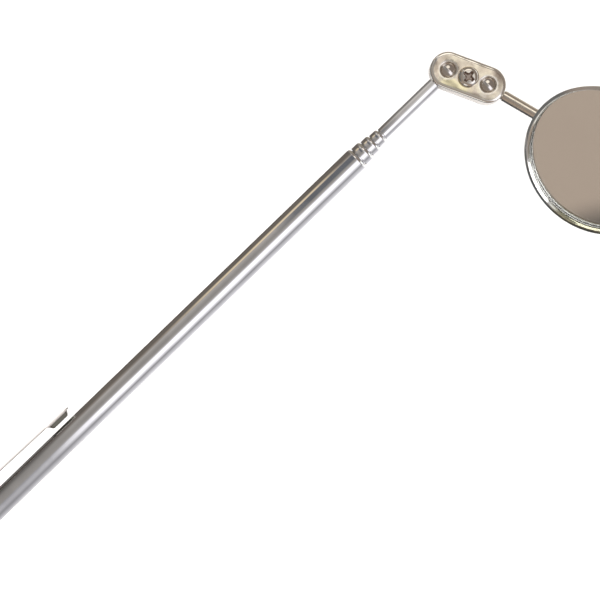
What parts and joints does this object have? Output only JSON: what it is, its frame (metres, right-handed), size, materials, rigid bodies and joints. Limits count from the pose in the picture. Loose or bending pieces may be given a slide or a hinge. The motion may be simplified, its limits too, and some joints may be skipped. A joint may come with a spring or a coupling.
{
  "type": "telescopic inspection mirror",
  "caption": "Round mirror in a rimmed metal case on a double-ball clamp joint, on a rod that telescopes out of a pen-sized metal tube with a pocket clip.",
  "frame": {"origin": "centre of the butt end face of the handle", "axes": "+X along the handle to the mirror, +Z square to the clamp plates, +Y the side of the pocket clip"},
  "size_m": [0.256, 0.0884, 0.0379],
  "materials": {
    "chrome_plate": "bright chrome plate, polished",
    "clip_chrome": "bright chrome plate on spring steel",
    "nickel_plate": "warm bright nickel plate",
    "stem_nickel": "warm bright nickel plate, lightly drawn",
    "screw_nickel": "bright nickel plate",
    "ball_steel": "polished steel",
    "case_chrome": "bright chrome plate, polished",
    "sleeve_brass": "plain brass",
    "pad_fibre": "dark fibre",
    "silvering": "silvered",
    "clear_glass": "clear, polished"
  },
  "bodies": {
    "handle": {"handle_tube": "chrome_plate", "butt_cap": "chrome_plate", "clip_collar": "clip_chrome"},
    "clip": {"clip_arm": "clip_chrome"},
    "section_2": {"section_2_tube": "chrome_plate", "section_2_ferrule": "chrome_plate", "section_2_sleeve": "sleeve_brass"},
    "section_3": {"section_3_tube": "chrome_plate", "section_3_ferrule": "chrome_plate", "section_3_sleeve": "sleeve_brass"},
    "section_4": {"section_4_tube": "chrome_plate", "section_4_ferrule": "chrome_plate", "section_4_sleeve": "sleeve_brass"},
    "rod_slider": {"rod_sleeve": "sleeve_brass"},
    "rod": {"rod": "chrome_plate", "rod_ball": "ball_steel"},
    "plates": {"front_plate": "nickel_plate", "rear_plate": "nickel_plate", "clamp_screw": "screw_nickel", "clamp_nut": "screw_nickel"},
    "stem_pivot": {"stem_ball": "ball_steel"},
    "mirror_head": {"mirror_stem": "stem_nickel", "stem_saddle": "nickel_plate", "saddle_rivets": "screw_nickel", "mirror_case": "case_chrome", "backing_pad": "pad_fibre", "mirror_silvering": "silvering", "mirror_glass": "clear_glass"}
  },
  "joints": [
    {"name": "clip_flex", "type": "hinge", "parent": "handle", "child": "clip", "pos_m": [0.0115, 0.00492, 0], "axis": [0, 0, 1], "range_deg": [-1.4, 6], "stiffness_Nm_per_rad": 0.8},
    {"name": "section_2_slide", "type": "slide", "parent": "handle", "child": "section_2", "axis": [1, 0, 0], "range_m": [0, 0.15]},
    {"name": "section_3_slide", "type": "slide", "parent": "section_2", "child": "section_3", "axis": [1, 0, 0], "range_m": [0, 0.15]},
    {"name": "section_4_slide", "type": "slide", "parent": "section_3", "child": "section_4", "axis": [1, 0, 0], "range_m": [0, 0.15]},
    {"name": "rod_slide", "type": "slide", "parent": "section_4", "child": "rod_slider", "axis": [1, 0, 0], "range_m": [0, 0.15]},
    {"name": "rod_twist", "type": "hinge", "parent": "rod_slider", "child": "rod", "pos_m": [0.19, 0, 0], "axis": [1, 0, 0], "continuous": true},
    {"name": "plate_swing", "type": "hinge", "parent": "rod", "child": "plates", "pos_m": [0.2226, 0, 0], "axis": [0, 0, 1], "range_deg": [-68, 208]},
    {"name": "stem_swing", "type": "hinge", "parent": "plates", "child": "stem_pivot", "pos_m": [0.22854, -0.01246, 0], "axis": [0, 0, -1], "range_deg": [-109, 81]},
    {"name": "mirror_twist", "type": "hinge", "parent": "stem_pivot", "child": "mirror_head", "pos_m": [0.22854, -0.01246, 0], "axis": [0.2328, -0.9477, 0.2181], "continuous": true}
  ]
}
